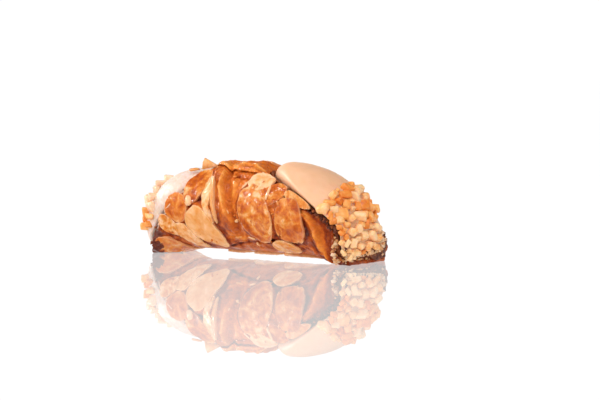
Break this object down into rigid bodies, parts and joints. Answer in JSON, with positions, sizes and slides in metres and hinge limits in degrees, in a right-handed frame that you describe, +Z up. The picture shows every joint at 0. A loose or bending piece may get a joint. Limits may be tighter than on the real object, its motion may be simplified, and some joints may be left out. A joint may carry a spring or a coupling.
{
  "type": "cannolo",
  "caption": "Filled pastry tube lying down: almond-covered rolled shell, chocolate-lined slanting mouths, hazelnut cream through it, ends dipped in chopped nuts.",
  "frame": {"origin": "middle of the foot of the whole cannolo's box, on the surface it lies on", "axes": "+X along the tube towards the mouth whose cut slopes more gently, +Y away from the side the picture shows, +Z up"},
  "size_m": [0.101, 0.0356, 0.0356],
  "materials": {
    "pastry": "baked golden-brown pastry under a thin caramel glaze, with pale sliced almonds stuck to it",
    "cream": "smooth pale hazelnut cream with a soft sheen, chopped golden nuts on its ends",
    "chocolate": "dark chocolate, satin and slightly crumbly",
    "almond": "sliced almond, pale to golden, partly under caramel glaze",
    "nut": "chopped blanched nut, pale yellow to golden, slightly translucent"
  },
  "bodies": {
    "root": {"shell": "pastry", "cream": "cream", "chocolate_rim_left": "chocolate", "chocolate_rim_right": "chocolate"}
  },
  "joints": []
}
